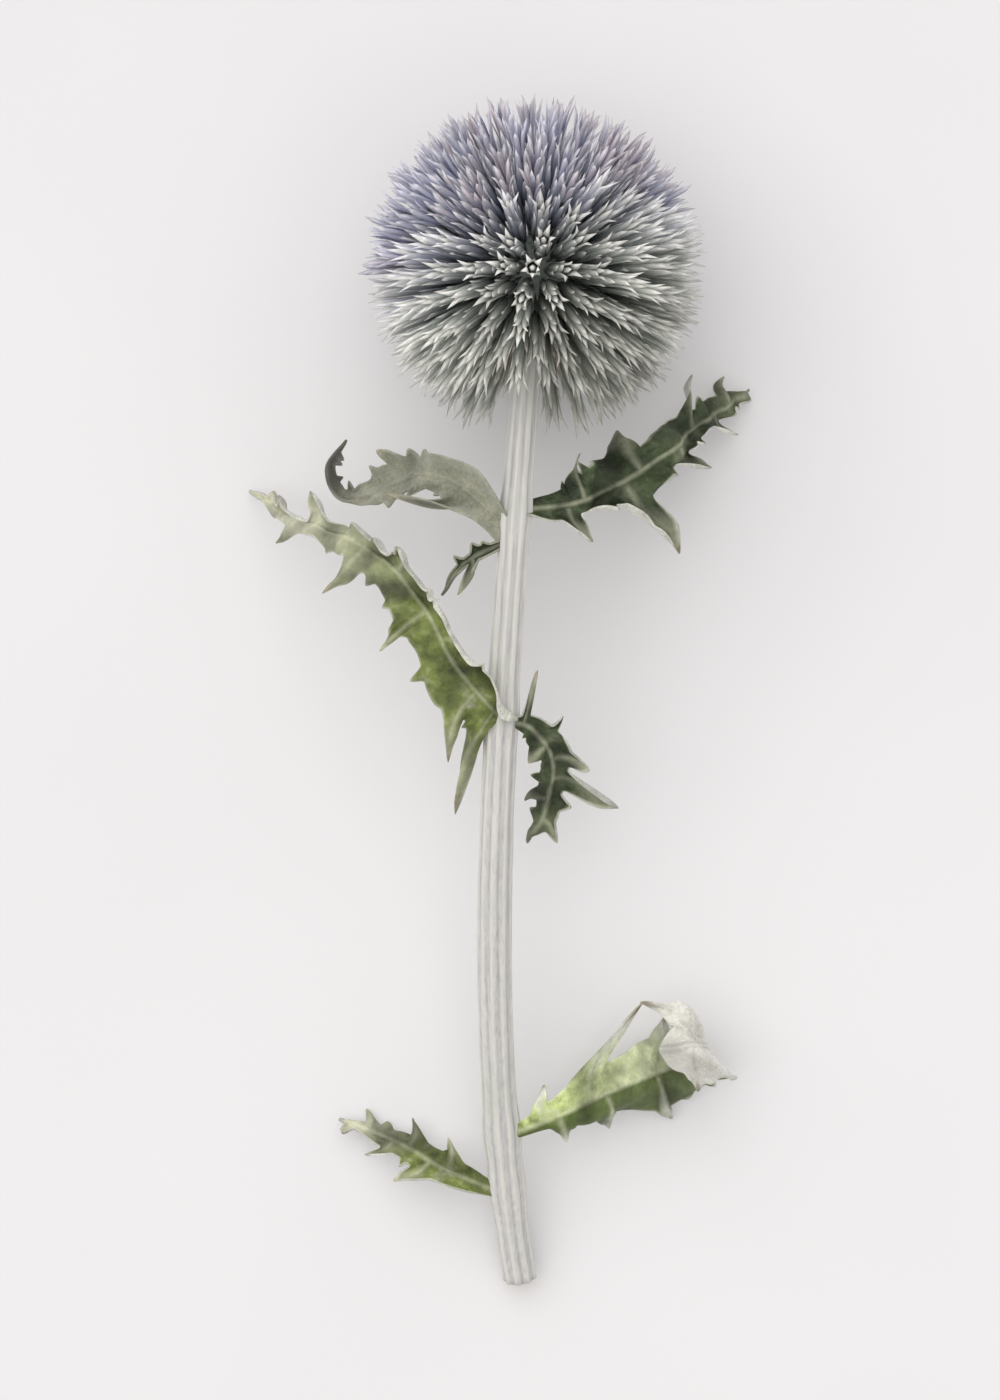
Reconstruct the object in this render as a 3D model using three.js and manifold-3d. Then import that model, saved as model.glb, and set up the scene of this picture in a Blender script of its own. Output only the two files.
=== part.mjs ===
// Head of a globe thistle (Echinops), picked with a short length of its stalk and the leaves on it.
// It lies on a table: the ball of florets, the leaf tips and the cut end of the stalk touch the surface.
// Millimetres and degrees. +X is to the right, +Y from the cut end to the head, +Z up from the table.
// The origin is on the table, under the middle of the flower.
import * as THREE from "three";
import { mergeVertices } from "three/addons/utils/BufferGeometryUtils.js";
import Module from "manifold-3d";

const wasm = await Module();
wasm.setup();

// Driving dimensions.
const headRadius = 20.3; // from the middle of the head to the tips of its open florets
const budRadius = 19.7; // the same to the tips of the florets that are still closed
const floretPitch = 4.35; // between neighbouring floret tips
const ringStep = 11; // polar angle from one ring of florets to the next
const ringCount = 14;
const floretWander = 1.2; // how far a floret leans from its even place
const bloomWay = new THREE.Vector3(-0.33, 0.92, -0.2).normalize(); // the side that has opened first
const bloomEdge = 0.05; // a floret is open where its way lies along bloomWay by more than this
const ballRadius = 4; // the swollen top of the stalk that carries the florets
const footBand = [4.35, 5.0]; // inner and outer radius of the joined feet of one ring
const fit = 0.3; // clear space between pieces that touch on the plant

const neckRadius = 1.5; // the stalk where it enters the head
const stalkRadius = 1.95; // the stalk at its cut end
const ribCount = 8;
const ribDepth = 0.07; // of the stalk's radius
const leafThickness = 0.7; // at the midrib

const stalkPath = new THREE.CubicBezierCurve3(
  new THREE.Vector3(0, 0, headRadius),
  new THREE.Vector3(-2.5, -38, headRadius + 6.5),
  new THREE.Vector3(-8, -80, 17),
  new THREE.Vector3(-1.6, -119, stalkRadius),
);

const radians = THREE.MathUtils.degToRad;
const tableUp = new THREE.Vector3(0, 0, 1);

// A closed geometry as a solid that can be joined to others.
function solidOf(geometry) {
  const bare = geometry.index ? geometry : mergeVertices(geometry);
  bare.deleteAttribute("normal");
  bare.deleteAttribute("uv");
  const merged = mergeVertices(bare, 1e-4);
  const corners = merged.index.array;
  const faces = [];
  for (let i = 0; i < corners.length; i += 3) {
    const [a, b, c] = corners.slice(i, i + 3);
    if (a !== b && b !== c && c !== a) faces.push(a, b, c);
  }
  return new wasm.Manifold(
    new wasm.Mesh({
      numProp: 3,
      vertProperties: merged.attributes.position.array,
      triVerts: new Uint32Array(faces),
    }),
  );
}

function joined(solids) {
  return solids.reduce((whole, next) => whole.add(next));
}

function meshOf(name, solid, colour, roughness) {
  const { vertProperties, triVerts } = solid.getMesh();
  const geometry = new THREE.BufferGeometry();
  geometry.setAttribute("position", new THREE.BufferAttribute(vertProperties, 3));
  geometry.setIndex(new THREE.BufferAttribute(triVerts, 1));
  geometry.computeVertexNormals();
  const material = new THREE.MeshStandardMaterial({ color: colour, roughness, metalness: 0 });
  const mesh = new THREE.Mesh(geometry, material);
  mesh.name = name;
  return mesh;
}

// A repeatable number from 0 to 1 for each pair of whole numbers.
function chance(a, b) {
  const mixed = Math.sin(a * 12.9898 + b * 78.233) * 43758.5453;
  return mixed - Math.floor(mixed);
}

// Lays a straight shape that runs from y = 0 to y = 1 along a curve.
// section(x, t, z) gives how far each of its points lies to the side of the curve and above it.
function layAlong(geometry, curve, section) {
  const place = geometry.attributes.position;
  for (let i = 0; i < place.count; i += 1) {
    const t = place.getY(i);
    const tangent = curve.getTangentAt(t);
    const side = tangent.clone().cross(tableUp).normalize();
    const above = side.clone().cross(tangent);
    const [across, up] = section(place.getX(i), t, place.getZ(i));
    const point = curve.getPointAt(t).addScaledVector(side, across).addScaledVector(above, up);
    place.setXYZ(i, point.x, point.y, point.z);
  }
  return geometry;
}

// The stalk, with a thickened joint where each leaf springs, and the ball that its top swells into.
function makeStalk(leafJoints) {
  const steps = 20;
  const ballFacets = [12, 8]; // around and from top to bottom
  const jointSwell = 0.16; // of the stalk's radius
  const jointLength = 0.022; // of the stalk's length
  const rod = new THREE.CylinderGeometry(1, 1, 1, ribCount * 2, steps).translate(0, 0.5, 0);
  const tube = layAlong(rod, stalkPath, (x, t, z) => {
    const swelling = leafJoints.reduce(
      (sum, at) => sum + jointSwell * Math.exp(-(((t - at) / jointLength) ** 2)),
      0,
    );
    const radius = THREE.MathUtils.lerp(neckRadius, stalkRadius, Math.min(1, t * 1.6)) * (1 + swelling);
    const rib = 1 + ribDepth * Math.cos(ribCount * Math.atan2(z, x));
    return [x * radius * rib, z * radius * rib];
  });
  const ball = new THREE.SphereGeometry(ballRadius, ...ballFacets).translate(0, 0, headRadius);
  return solidOf(tube).add(solidOf(ball));
}

// One floret standing along +Y from the middle of the head. Its foot ends inside the band of joined feet.
function makeFloret(isOpen) {
  const foot = footBand[0] + fit;
  const footRadius = 0.28;
  const cupRadius = 0.75; // the cup of bracts under the open petals
  const cupTop = 14.5; // from the middle of the head, as are the next two
  const petalTop = headRadius - 1.2;
  const budMiddle = 12.5;
  const petalRadius = 1.15;
  const budWidth = 0.9;
  const open = [
    [0, foot],
    [footRadius, foot],
    [cupRadius, cupTop],
    [petalRadius, petalTop],
    [0, headRadius],
  ];
  const bud = [
    [0, foot],
    [footRadius, foot],
    [budWidth, budMiddle],
    [0, budRadius],
  ];
  const profile = (isOpen ? open : bud).map(([radius, height]) => new THREE.Vector2(radius, height));
  return new THREE.LatheGeometry(profile, 4);
}

// One ring of florets on the band that joins their feet, each on the middle of a facet of the band.
// The head's apex is along +Y until headTurn turns it to the end of the stalk.
function makeRing(ring, headTurn) {
  const polar = (ring + 0.5) * ringStep;
  const count = Math.round((2 * Math.PI * Math.sin(radians(polar)) * headRadius) / floretPitch);
  const clearance = THREE.MathUtils.radToDeg(fit / 2 / footBand[0]);
  const top = ring === 0 ? 0 : radians(polar - ringStep / 2 + clearance);
  const bottom = radians(polar + ringStep / 2 - clearance);
  const [inner, outer] = footBand;
  const corner = (radius, angle) =>
    new THREE.Vector2(radius * Math.sin(angle), radius * Math.cos(angle));
  const section = [corner(inner, top), corner(inner, bottom), corner(outer, bottom), corner(outer, top)];
  if (ring > 0) section.push(section[0].clone());
  const facets = count < 8 ? 3 * count : count;
  const start = 360 * chance(ring, 99);
  const band = solidOf(new THREE.LatheGeometry(section, facets, radians(start)));

  const florets = [];
  for (let i = 0; i < count; i += 1) {
    const lean = floretWander * (2 * chance(ring, i) - 1);
    const turn = floretWander * (2 * chance(i, ring) - 1);
    const around = start + (360 * (i + 0.5)) / count + turn;
    const way = new THREE.Vector3()
      .setFromSphericalCoords(1, radians(polar + lean), radians(around))
      .applyQuaternion(headTurn);
    const floret = makeFloret(way.dot(bloomWay) > bloomEdge)
      .rotateX(radians(polar + lean))
      .rotateY(radians(around));
    florets.push(solidOf(floret));
  }
  return joined([band, ...florets]);
}

// The short bristles at the base of the head, turned back along the stalk, on the collar they grow from.
function makeBristles() {
  const collarInner = neckRadius * (1 + ribDepth) + fit + 0.15;
  const collarOuter = collarInner + 0.6;
  const collarTop = -5.6; // from the middle of the head
  const collarFoot = -6.7;
  const spikeRadius = 0.32;
  const spikeLength = [8, 10];
  const spikeLean = [7, 11]; // away from the stalk
  const collar = [
    [collarInner, collarTop],
    [collarInner, collarFoot],
    [collarOuter, collarFoot],
    [collarOuter, collarTop],
    [collarInner, collarTop],
  ].map(([radius, height]) => new THREE.Vector2(radius, height));
  const count = 12;
  const bristles = [];
  for (let i = 0; i < count; i += 1) {
    const length = THREE.MathUtils.lerp(...spikeLength, chance(i, 5));
    const lean = THREE.MathUtils.lerp(...spikeLean, chance(i, 7));
    const spike = new THREE.ConeGeometry(spikeRadius, length, 4)
      .rotateX(Math.PI)
      .translate(0, -length / 2, 0)
      .rotateX(radians(-lean))
      .translate(0, collarTop - spikeRadius, collarOuter - spikeRadius / 2)
      .rotateY((2 * Math.PI * i) / count);
    bristles.push(solidOf(spike));
  }
  return joined([solidOf(new THREE.LatheGeometry(collar, 16)), ...bristles]);
}

// A blade with pointed ends along a curve, thickest at its midrib. fold lifts its edges above the midrib.
function makeBlade(points, halfWidth, fold, steps = 7) {
  const lowness = 0.62; // below 1, the blade is broadest nearer to its foot
  const fullness = 0.75; // below 1, it stays broad for more of its length
  const thinnest = 0.35; // of the leaf's thickness, at its ends
  const curve = new THREE.CatmullRomCurve3(points.map((p) => new THREE.Vector3(...p)));
  const profile = [];
  for (let i = 0; i <= steps; i += 1) {
    profile.push(new THREE.Vector2(i === 0 || i === steps ? 0 : 1, i / steps));
  }
  const slip = layAlong(new THREE.LatheGeometry(profile, 4), curve, (x, t, z) => {
    const width = halfWidth * Math.sin(Math.PI * t ** lowness) ** fullness;
    const thin = Math.min(1, thinnest + width / halfWidth);
    return [x * width, (z * leafThickness * thin) / 2 + fold * Math.abs(x) * width];
  });
  return solidOf(slip);
}

// A leaf with spine-tipped lobes. Each lobe is [place along the midrib, side, length, lean, drop]:
// side is 1 or -1, lean turns it towards the tip, and drop is how far its tip hangs below its root.
function makeLeaf(midrib, halfWidth, fold, lobes) {
  const archPlace = 0.55; // where along a lobe it stands highest
  const archHeight = 0.3; // of the lobe's length, for each unit of fold
  const slimness = 0.16; // half width over length
  const broadestLobe = 1.6;
  const curve = new THREE.CatmullRomCurve3(midrib.map((p) => new THREE.Vector3(...p)));
  const slips = lobes.map(([t, side, length, lean, drop]) => {
    const root = curve.getPointAt(t);
    const tangent = curve.getTangentAt(t);
    const outward = tangent.clone().cross(tableUp).normalize().multiplyScalar(side);
    const way = outward.multiplyScalar(Math.cos(radians(lean)));
    way.addScaledVector(tangent, Math.sin(radians(lean)));
    const middle = root.clone().addScaledVector(way, length * archPlace);
    const tip = root.clone().addScaledVector(way, length);
    middle.z += fold * length * archHeight;
    tip.z -= drop;
    const points = [root.toArray(), middle.toArray(), tip.toArray()];
    return makeBlade(points, Math.min(broadestLobe, length * slimness), fold, 3);
  });
  return joined([makeBlade(midrib, halfWidth, fold), ...slips]);
}

const leaves = [
  {
    name: "upper_leaf",
    colour: 0x6f7f4c,
    midrib: [
      [-6.15, -51, 20.6],
      [-9.4, -45.4, 23],
      [-12.4, -39.7, 23.4],
      [-17, -34, 21.5],
      [-22.5, -30.7, 17],
      [-28.5, -28.3, 10],
      [-34, -25, 0.5],
    ],
    halfWidth: 3.4,
    fold: -0.25,
    lobes: [
      [0.07, -1, 8, -30, 4],
      [0.1, -1, 13, -62, 8],
      [0.4, -1, 7.5, 0, 5],
      [0.55, 1, 5.5, 40, 2],
      [0.64, -1, 8, 10, 4],
      [0.78, 1, 5.5, 45, 2],
      [0.84, -1, 4.5, 35, 1],
    ],
  },
  {
    name: "axil_leaf",
    colour: 0x4a5a3c,
    midrib: [
      [-1.2, -52.2, 20.6],
      [1.3, -54.5, 19.8],
      [3.2, -58, 16.5],
      [2.2, -62.5, 12.5],
      [0.6, -67, 8.5],
    ],
    halfWidth: 1.3,
    fold: 0.15,
    lobes: [
      [0.1, -1, 6.2, 0, -0.4],
      [0.45, -1, 5.5, 30, 2],
      [0.62, -1, 7, 35, 3],
      [0.66, 1, 4.5, 35, 2],
    ],
  },
  {
    name: "neck_leaf_left",
    colour: 0xa9ac95,
    midrib: [
      [-4.5, -30, 22.3],
      [-6.2, -27.2, 22.4],
      [-9.5, -24.8, 21],
      [-14, -24, 18.5],
      [-18.5, -25.6, 15],
      [-22, -26, 12.5],
      [-24, -22.5, 12],
      [-22, -19, 12.5],
    ],
    halfWidth: 2.6,
    fold: 0.2,
    lobes: [
      [0.2, -1, 8, 55, 1],
      [0.46, -1, 5, 40, 3],
      [0.48, 1, 4.5, 40, 2],
    ],
  },
  {
    name: "neck_leaf_right",
    colour: 0x4b5b3b,
    midrib: [
      [0.2, -27.6, 22.6],
      [5, -27, 21.6],
      [11, -24, 17.5],
      [17.5, -19, 11],
      [22, -15.5, 5.5],
      [26, -12.5, 0.5],
    ],
    halfWidth: 3,
    fold: 0.15,
    lobes: [
      [0.22, 1, 6.5, 25, 3],
      [0.42, 1, 8, 30, 4],
      [0.45, -1, 4.5, 50, 2],
      [0.64, 1, 7.5, 35, 3],
      [0.68, -1, 4.5, 50, 2],
      [0.8, 1, 4.5, 40, 1],
    ],
  },
  {
    name: "neck_leaf_narrow",
    colour: 0x9aa085,
    midrib: [
      [-4.8, -32.4, 22.3],
      [-7.2, -33.4, 22.4],
      [-9, -35, 21],
      [-10.8, -37.6, 18.4],
    ],
    halfWidth: 0.9,
    fold: 0.1,
    lobes: [[0.3, -1, 5.5, 45, 1]],
  },
  {
    name: "lower_leaf_right",
    colour: 0x7f9158,
    midrib: [
      [-1.3, -100.6, 8.9],
      [3, -98.6, 8.4],
      [8, -96, 6],
      [13, -94, 3.4],
      [17.4, -92.2, 3],
      [20.2, -90.6, 5.6],
      [19.2, -90, 9],
      [16, -90.4, 10.4],
    ],
    halfWidth: 4,
    fold: 0.2,
    lobes: [
      [0.1, 1, 7, 0, 2],
      [0.22, -1, 12, 48, -1],
      [0.3, 1, 7.5, 20, 2],
      [0.52, -1, 8, 30, -2],
      [0.54, 1, 6, 30, -1],
    ],
  },
  {
    name: "lower_leaf_left",
    colour: 0x71834f,
    midrib: [
      [-5.75, -107.8, 6.3],
      [-10.5, -105.6, 6],
      [-15, -103.2, 4.4],
      [-19.5, -101.4, 2.2],
      [-23.2, -100.4, 0.5],
    ],
    halfWidth: 2.1,
    fold: 0.2,
    lobes: [
      [0.3, -1, 4.5, 35, 1],
      [0.34, 1, 4.5, 35, 1],
      [0.6, -1, 4, 40, 1],
      [0.62, 1, 4, 40, 0.6],
    ],
  },
];

const flower = new THREE.Group();

const leafJoints = [0.235, 0.43, 0.84, 0.9];
flower.add(meshOf("stalk", makeStalk(leafJoints), 0xd6d4c8, 0.85));

const head = new THREE.Group();
head.position.set(0, 0, headRadius);
const apex = stalkPath.getTangentAt(0).negate();
head.quaternion.setFromUnitVectors(new THREE.Vector3(0, 1, 0), apex);
const openRings = 8; // these are open nearly all the way round
for (let ring = 0; ring < ringCount; ring += 1) {
  const colour = ring < openRings ? 0x9a9bb8 : 0xa3a893;
  const name = "florets_ring_" + String(ring + 1).padStart(2, "0");
  head.add(meshOf(name, makeRing(ring, head.quaternion), colour, 0.8));
}
head.add(meshOf("base_bristles", makeBristles(), 0xb5a795, 0.85));
flower.add(head);

for (const { name, colour, midrib, halfWidth, fold, lobes } of leaves) {
  flower.add(meshOf(name, makeLeaf(midrib, halfWidth, fold, lobes), colour, 0.75));
}

// The origin goes under the middle of the flower, with its lowest points on the table.
const extent = new THREE.Box3().setFromObject(flower, true);
const middle = extent.getCenter(new THREE.Vector3());
flower.position.set(-middle.x, -middle.y, -extent.min.z);

const part = new THREE.Group();
part.add(flower);

export default part;
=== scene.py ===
import math
import random
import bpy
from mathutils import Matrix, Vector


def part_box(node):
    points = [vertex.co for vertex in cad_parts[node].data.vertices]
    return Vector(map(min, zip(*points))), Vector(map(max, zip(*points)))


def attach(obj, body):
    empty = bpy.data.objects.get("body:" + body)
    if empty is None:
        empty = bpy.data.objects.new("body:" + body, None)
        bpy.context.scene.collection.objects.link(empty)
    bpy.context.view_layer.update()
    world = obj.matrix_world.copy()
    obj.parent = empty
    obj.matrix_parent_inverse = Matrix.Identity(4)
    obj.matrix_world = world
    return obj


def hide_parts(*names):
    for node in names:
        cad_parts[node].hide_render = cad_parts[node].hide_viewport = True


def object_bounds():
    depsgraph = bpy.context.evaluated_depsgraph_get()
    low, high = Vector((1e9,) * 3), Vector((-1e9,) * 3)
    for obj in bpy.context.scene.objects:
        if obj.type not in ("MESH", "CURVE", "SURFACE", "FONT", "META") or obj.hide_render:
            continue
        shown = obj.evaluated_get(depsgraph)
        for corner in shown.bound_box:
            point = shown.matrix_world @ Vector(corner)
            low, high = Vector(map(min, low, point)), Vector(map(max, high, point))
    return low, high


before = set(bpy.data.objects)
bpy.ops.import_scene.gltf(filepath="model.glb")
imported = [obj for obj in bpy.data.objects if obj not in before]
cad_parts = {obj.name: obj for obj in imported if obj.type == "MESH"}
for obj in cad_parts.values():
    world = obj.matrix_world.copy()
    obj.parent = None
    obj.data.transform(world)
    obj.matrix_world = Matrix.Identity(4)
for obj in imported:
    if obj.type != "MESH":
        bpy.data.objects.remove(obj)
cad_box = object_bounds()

from types import SimpleNamespace

import bmesh
import bpy
from mathutils import Matrix, Vector, geometry, noise

# ----------------------------------------------------------
# Stalk: the top of a flowering stem, cut with a knife just under its lowest leaf joint.
# It is a ribbed, pithy tube under thin white wool, a little thicker at each leaf joint, and its
# top swells into the small ball that every floret stands on. It grew as one piece.
# ----------------------------------------------------------
# Pieces are drawn in millimetres round the point on the table under the middle of the head,
# with the table at z = 0, and are then put into the frame in metres. The ball reaches further in
# X and in Y than the rest of the stalk, so the stalk's box says where the middle of the head is.
MM = 0.001
BALL_RADIUS = 4.0
HEAD_RADIUS = 20.3
stalk_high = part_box("stalk")[1]
HEAD_FOOT = Vector((stalk_high.x - BALL_RADIUS * MM, stalk_high.y - BALL_RADIUS * MM, 0))
HEAD_MIDDLE = Vector((0, 0, HEAD_RADIUS))
UP = Vector((0, 0, 1))

NECK_RADIUS = 1.5
STALK_RADIUS = 1.95
STALK_SIDES = 72
STALK_STEPS = 150
# The stalk bows down from the middle of the head to its cut end, which rests on the table.
STALK_COURSE = geometry.interpolate_bezier(
    HEAD_MIDDLE,
    Vector((-2.5, -38, HEAD_RADIUS + 6.5)),
    Vector((-8, -80, 17)),
    Vector((-1.6, -119, STALK_RADIUS)),
    40,
)
# Where the leaf joints are, how much each one swells the stalk, and how far along it.
JOINTS_Y = (-28.5, -51.5, -101.0, -107.5)
JOINT_SWELL = 0.14
JOINT_SPREAD = 2.6
# The ribs, the finer ribs over them and the plain unevenness, as shares of the radius.
STALK_RIBS = 9
RIB_HEIGHT = 0.065
FINE_RIBS = 23
FINE_HEIGHT = 0.02
UNEVENNESS = 0.03
# The cut, as shares of the radius and, in depth, of the length: a rim of firm flesh, then a step
# down to the shrunken pith.
RIM_BREADTH = 0.22
STEP_BREADTH = 0.12
STEP_DEPTH = 0.004
INSIDE_WALL = 0.9


def on_course(points, t):
    """The place at t, from 0 to 1, on a smooth curve through all the points."""
    place = t * (len(points) - 1)
    i = min(int(place), len(points) - 2)
    f = place - i
    a, b = points[i], points[i + 1]
    before = points[i - 1] if i else 2 * a - b
    after = points[i + 2] if i + 2 < len(points) else 2 * b - a
    bend = 2 * before - 5 * a + 4 * b - after
    swing = 3 * a - before - 3 * b + after
    return 0.5 * (2 * a + f * (b - before) + f**2 * bend + f**3 * swing)


def heading(points, t):
    """The direction in which the curve runs at t."""
    nearby = 0.01
    ahead = on_course(points, min(1, t + nearby)) - on_course(points, max(0, t - nearby))
    return ahead.normalized()


def course_frame(points, t):
    """The place at t, and the directions along the curve, to its side and above it."""
    ahead = heading(points, t)
    side = ahead.cross(UP).normalized()
    return on_course(points, t), ahead, side, side.cross(ahead)


def draw_tube(bm, sides, steps):
    """A straight open tube of radius 1 from z = 0 to z = 1: a circle drawn upwards step by step.
    Returns all its points, those at its foot and those at its end."""
    circle = bmesh.ops.create_circle(bm, segments=sides, radius=1.0)["verts"]
    edges = list(dict.fromkeys(edge for vert in circle for edge in vert.link_edges))
    made = list(circle)
    for _ in range(steps):
        drawn = bmesh.ops.extrude_edge_only(bm, edges=edges)["geom"]
        verts = [part for part in drawn if isinstance(part, bmesh.types.BMVert)]
        edges = [part for part in drawn if isinstance(part, bmesh.types.BMEdge)]
        edges = [edge for edge in edges if edge.verts[0] in verts and edge.verts[1] in verts]
        bmesh.ops.translate(bm, verts=verts, vec=(0, 0, 1 / steps))
        made += verts
    return made, circle, verts


def put_in_frame(bm, name, materials, node):
    """Makes the drawn piece an object that stands for this CAD node."""
    for face in bm.faces:
        face.smooth = True
    bmesh.ops.scale(bm, vec=(MM, MM, MM), verts=bm.verts)
    bmesh.ops.translate(bm, vec=HEAD_FOOT, verts=bm.verts)
    mesh = bpy.data.meshes.new(name)
    bm.to_mesh(mesh)
    bm.free()
    for material in materials:
        mesh.materials.append(material)
    piece = bpy.data.objects.new(name, mesh)
    bpy.context.scene.collection.objects.link(piece)
    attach(piece, "root")
    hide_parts(node)
    return piece


def linear(code, alpha=1.0):
    """An sRGB hex colour as linear values."""
    parts = [int(code[i : i + 2], 16) / 255 for i in (1, 3, 5)]
    return [c / 12.92 if c <= 0.04045 else ((c + 0.055) / 1.055) ** 2.4 for c in parts] + [alpha]


def add_node(tree, kind, sockets=None, **settings):
    """Adds a node. A socket is given a value, or another node's output to be linked to."""
    node = tree.nodes.new("ShaderNode" + kind)
    for key, value in settings.items():
        setattr(node, key, value)
    for key, value in (sockets or {}).items():
        if isinstance(value, bpy.types.NodeSocket):
            tree.links.new(value, node.inputs[key])
        else:
            node.inputs[key].default_value = value
    return node


def new_finish(name, roughness):
    """A new material with a plain dry surface, with its node tree, its surface shader and the
    output that gives a point's place."""
    material = bpy.data.materials.new(name)
    material.use_nodes = True
    tree = material.node_tree
    surface = tree.nodes["Principled BSDF"]
    surface.inputs["Roughness"].default_value = roughness
    surface.inputs["Specular IOR Level"].default_value = 0.3
    return material, tree, surface, add_node(tree, "TexCoord").outputs["Object"]


def set_stops(ramp, stops):
    """Gives a colour ramp its stops: pairs of a place from 0 to 1 and a hex colour."""
    band = ramp.color_ramp
    while len(band.elements) < len(stops):
        band.elements.new(0.5)
    for element, (place, code) in zip(band.elements, stops):
        element.position = place
        element.color = linear(code)


def laid_over(tree, colour, layers):
    """Lays more colours over this one, in turn. Each layer is the mark that it follows, the span
    of that mark over which it comes in, and its hex colour."""
    for mark, span, over in layers:
        share = add_node(tree, "MapRange", {"Value": mark, **span}).outputs["Result"]
        sockets = {"Factor": share, "A": colour, "B": linear(over)}
        colour = add_node(tree, "Mix", sockets, data_type="RGBA").outputs["Result"]
    return colour


def size(millimetres):
    """The scale of a pattern on Object coordinates whose features are this large."""
    return 1000 / millimetres


# Wool: a thin felt of white hairs lying along the stem. It gives a silvery, quite matt white on
# the ribs, lilac-grey skin shows through it in the grooves, and it is tinged green in patches. The
# hairs are drawn about twenty times as coarse as they are, because real ones would not show.
def make_stalk_wool():
    material, tree, surface, place = new_finish("stalk_wool", 0.85)
    surface.inputs["Sheen Weight"].default_value = 0.35
    surface.inputs["Sheen Roughness"].default_value = 0.6
    drawn_out = add_node(tree, "Mapping", {"Vector": place, "Scale": (1, 0.06, 1)}).outputs["Vector"]
    sockets = {"Vector": drawn_out, "Scale": size(0.35), "Detail": 4.0, "Roughness": 0.65}
    hairs = add_node(tree, "TexNoise", sockets).outputs["Fac"]
    sockets = {"Vector": place, "Scale": size(7), "Detail": 2.0}
    patches = add_node(tree, "TexNoise", sockets).outputs["Fac"]
    rib = add_node(tree, "Attribute", attribute_name="rib").outputs["Fac"]
    cover = add_node(tree, "Math", {0: rib, 1: hairs}, operation="ADD").outputs["Value"]
    wool = add_node(tree, "ValToRGB", {"Fac": cover})
    set_stops(wool, [(0.35, "#a8a3a6"), (0.7, "#c3c1bd"), (1.0, "#d6d4cd")])
    green_tinge = (patches, {"From Min": 0.5, "From Max": 0.75, "To Max": 0.45}, "#b9c2b2")
    colour = laid_over(tree, wool.outputs["Color"], [green_tinge])
    tree.links.new(colour, surface.inputs["Base Color"])
    bump = add_node(tree, "Bump", {"Height": hairs, "Strength": 0.5, "Distance": 0.00012})
    tree.links.new(bump.outputs["Normal"], surface.inputs["Normal"])
    return material


# Bare tissue: soft and quite matt, darker in its pores or pits, which are this far apart in mm.
def make_tissue(name, roughness, pit, stops):
    material, tree, surface, place = new_finish(name, roughness)
    pits = add_node(tree, "TexVoronoi", {"Vector": place, "Scale": size(pit)})
    tone = add_node(tree, "ValToRGB", {"Fac": pits.outputs["Distance"]})
    set_stops(tone, stops)
    tree.links.new(tone.outputs["Color"], surface.inputs["Base Color"])
    return material


# Pith: the soft, cream-white inside of the stem, seen only at the cut. Its pores are drawn about
# three times as large as they are, so that they show.
# Receptacle: the bare ball inside the head, pitted where the florets stand, and always in shade.
PITH = 1
RECEPTACLE = 2
stalk_finishes = [
    make_stalk_wool(),
    make_tissue("cut_pith", 0.9, 0.25, [(0.0, "#a89f84"), (0.5, "#d8cfb2")]),
    make_tissue("pitted_receptacle", 0.85, 0.9, [(0.0, "#5a615b"), (0.6, "#868d86")]),
]


def make_stalk():
    bm = bmesh.new()
    rib_mark = bm.verts.layers.float.new("rib")
    _, _, end = draw_tube(bm, STALK_SIDES, STALK_STEPS)
    cut = bmesh.ops.contextual_create(bm, geom=end)["faces"]
    bmesh.ops.inset_region(bm, faces=cut, thickness=RIM_BREADTH)
    bmesh.ops.inset_region(bm, faces=cut, thickness=STEP_BREADTH, depth=-STEP_DEPTH)
    # Only the faces of the cut have their middles inside the wall.
    for face in bm.faces:
        if face.calc_center_median().xy.length < INSIDE_WALL:
            face.material_index = PITH
    for vert in bm.verts:
        t = vert.co.z
        turn = math.atan2(vert.co.y, vert.co.x)
        here, _, side, above = course_frame(STALK_COURSE, min(1, t))
        joint = sum(math.exp(-(((here.y - y) / JOINT_SPREAD) ** 2)) for y in JOINTS_Y)
        radius = NECK_RADIUS + (STALK_RADIUS - NECK_RADIUS) * min(1, 1.6 * t)
        rib = math.cos(STALK_RIBS * turn + 0.5 * math.sin(9 * t))
        fine = math.cos(FINE_RIBS * turn + 1.5 * math.sin(14 * t))
        uneven = noise.noise(Vector((2 * math.cos(turn), 2 * math.sin(turn), 26 * t)))
        relief = JOINT_SWELL * joint + RIB_HEIGHT * rib + FINE_HEIGHT * fine + UNEVENNESS * uneven
        radius *= 1 + relief
        vert[rib_mark] = 0.3 + 0.22 * rib + 0.12 * fine
        out = vert.co.xy.length * radius
        vert.co = here + side * math.cos(turn) * out + above * math.sin(turn) * out
    ball = bmesh.ops.create_uvsphere(
        bm,
        u_segments=32,
        v_segments=20,
        radius=BALL_RADIUS,
        matrix=Matrix.Translation(HEAD_MIDDLE),
    )
    for face in {face for vert in ball["verts"] for face in vert.link_faces}:
        face.material_index = RECEPTACLE
    bmesh.ops.recalc_face_normals(bm, faces=bm.faces)
    put_in_frame(bm, "ribbed_stalk", stalk_finishes, "stalk")


make_stalk()

# ----------------------------------------------------------
# Florets: each is a whole tiny flower in a slim cup of spiny, papery bracts, and grows on the ball
# by a short stem in a tuft of bristles. Those towards the apex have opened: five narrow petals curl
# out round a dark column of anthers. The rest are still shut, and show only their bracts' points.
# ----------------------------------------------------------
# The rings are this many degrees apart, from the apex down. In a ring the florets are this many
# millimetres apart at the surface of the head, and stand up to so many degrees out of line.
RING_STEP = 11
FLORET_PITCH = 4.35
FLORET_WANDER = 1.2
OPEN_KINDS = 7
OPEN_SEED = 200
SHUT_KINDS = 6
SHUT_SEED = 100
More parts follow.
